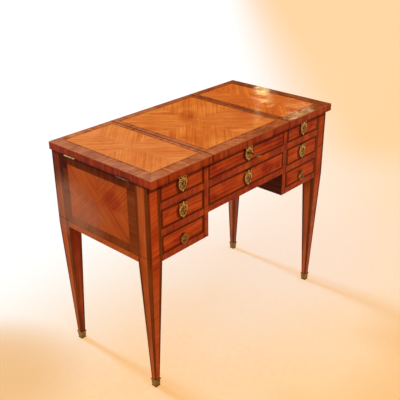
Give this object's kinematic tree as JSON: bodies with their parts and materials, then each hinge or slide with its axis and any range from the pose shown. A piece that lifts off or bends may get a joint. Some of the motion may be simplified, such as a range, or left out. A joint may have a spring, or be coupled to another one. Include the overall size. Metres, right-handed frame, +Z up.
{
  "type": "poudreuse dressing table",
  "caption": "Kneehole dressing table on tapered legs, with hinged top lids, a mirror under the middle one, drawers, a writing slide and brass sabots.",
  "frame": {"origin": "on the floor under the middle of the whole plan, from the bow of the key in front to the rear edge of the top", "axes": "+X to the right of the person who sits at it, +Y to the back, +Z up"},
  "size_m": [0.8582, 0.462, 0.71],
  "materials": {
    "top_veneer": "French polished, tulipwood banded in amaranth",
    "case_veneer": "French polished, tulipwood banded in amaranth",
    "front_veneer": "French polished, crossbanded",
    "oak": "plain, waxed",
    "frame_wood": "polished",
    "gilt_brass": "worn gilding",
    "steel": "dull",
    "hide": "tooled edge, worn",
    "mirror_plate": "old silvered plate"
  },
  "bodies": {
    "case": {"leg_front_left": "case_veneer", "leg_front_right": "case_veneer", "leg_rear_left": "case_veneer", "leg_rear_right": "case_veneer", "sabots": "gilt_brass", "end_panel_left": "case_veneer", "end_panel_right": "case_veneer", "back_boards": "oak", "partition_left": "front_veneer", "partition_right": "front_veneer", "rails_left": "front_veneer", "rails_right": "front_veneer", "rails_centre": "front_veneer", "bottom_boards": "oak", "dust_boards": "oak", "well_floors": "oak", "bottom_board_centre": "oak", "slide_bed": "oak", "mirror_well_floor": "oak", "mirror_well_front": "oak", "drawer_guides": "oak", "sham_front_left": "front_veneer", "sham_front_right": "front_veneer", "sham_escutcheons": "gilt_brass", "case_hinge_leaves": "gilt_brass", "hinge_pins": "steel"},
    "lid_left": {"lid_left": "top_veneer", "lid_left_hinge_leaves": "gilt_brass"},
    "lid_right": {"lid_right": "top_veneer", "lid_right_hinge_leaves": "gilt_brass"},
    "lid_centre": {"lid_centre": "top_veneer", "lid_centre_hinge_leaves": "gilt_brass", "mirror_frame": "frame_wood", "mirror_glass": "mirror_plate"},
    "drawer_middle_left": {"drawer_middle_left_front": "front_veneer", "drawer_middle_left_box": "oak", "drawer_middle_left_escutcheon": "gilt_brass", "drawer_middle_left_lock": "steel"},
    "drawer_bottom_left": {"drawer_bottom_left_front": "front_veneer", "drawer_bottom_left_box": "oak", "drawer_bottom_left_rose": "gilt_brass"},
    "ring_left": {"drawer_bottom_left_ring": "gilt_brass"},
    "drawer_middle_right": {"drawer_middle_right_front": "front_veneer", "drawer_middle_right_box": "oak", "drawer_middle_right_escutcheon": "gilt_brass", "drawer_middle_right_lock": "steel"},
    "drawer_bottom_right": {"drawer_bottom_right_front": "front_veneer", "drawer_bottom_right_box": "oak", "drawer_bottom_right_rose": "gilt_brass"},
    "ring_right": {"drawer_bottom_right_ring": "gilt_brass"},
    "drawer_centre": {"drawer_centre_front": "front_veneer", "drawer_centre_box": "oak", "drawer_centre_escutcheon": "gilt_brass", "drawer_centre_lock": "steel"},
    "writing_slide": {"slide_front": "front_veneer", "slide_board": "oak", "slide_leather": "hide", "slide_escutcheon": "gilt_brass", "slide_lock": "steel"},
    "key": {"key": "gilt_brass"}
  },
  "joints": [
    {"name": "lid_left_hinge", "type": "hinge", "parent": "case", "child": "lid_left", "pos_m": [-0.4272, 0.0135, 0.6861], "axis": [0, -1, 0], "range_deg": [0, 180]},
    {"name": "lid_right_hinge", "type": "hinge", "parent": "case", "child": "lid_right", "pos_m": [0.4272, 0.0135, 0.6861], "axis": [0, 1, 0], "range_deg": [0, 180]},
    {"name": "lid_centre_hinge", "type": "hinge", "parent": "case", "child": "lid_centre", "pos_m": [0, 0.2227, 0.6861], "axis": [-1, 0, 0], "range_deg": [0, 100]},
    {"name": "drawer_middle_left_slide", "type": "slide", "parent": "case", "child": "drawer_middle_left", "axis": [0, -1, 0], "range_m": [0, 0.27]},
    {"name": "drawer_bottom_left_slide", "type": "slide", "parent": "case", "child": "drawer_bottom_left", "axis": [0, -1, 0], "range_m": [0, 0.27]},
    {"name": "drawer_middle_right_slide", "type": "slide", "parent": "case", "child": "drawer_middle_right", "axis": [0, -1, 0], "range_m": [0, 0.27]},
    {"name": "drawer_bottom_right_slide", "type": "slide", "parent": "case", "child": "drawer_bottom_right", "axis": [0, -1, 0], "range_m": [0, 0.27]},
    {"name": "drawer_centre_slide", "type": "slide", "parent": "case", "child": "drawer_centre", "axis": [0, -1, 0], "range_m": [0, 0.27]},
    {"name": "writing_slide_slide", "type": "slide", "parent": "case", "child": "writing_slide", "axis": [0, -1, 0], "range_m": [0, 0.23]},
    {"name": "key_turn", "type": "hinge", "parent": "writing_slide", "child": "key", "pos_m": [0, -0.185, 0.65525], "axis": [0, 1, 0], "range_deg": [-90, 90]},
    {"name": "ring_left_swing", "type": "hinge", "parent": "drawer_bottom_left", "child": "ring_left", "pos_m": [-0.291, -0.1904, 0.4945], "axis": [-1, 0, 0], "range_deg": [0, 110]},
    {"name": "ring_right_swing", "type": "hinge", "parent": "drawer_bottom_right", "child": "ring_right", "pos_m": [0.291, -0.1904, 0.4945], "axis": [-1, 0, 0], "range_deg": [0, 110]}
  ]
}
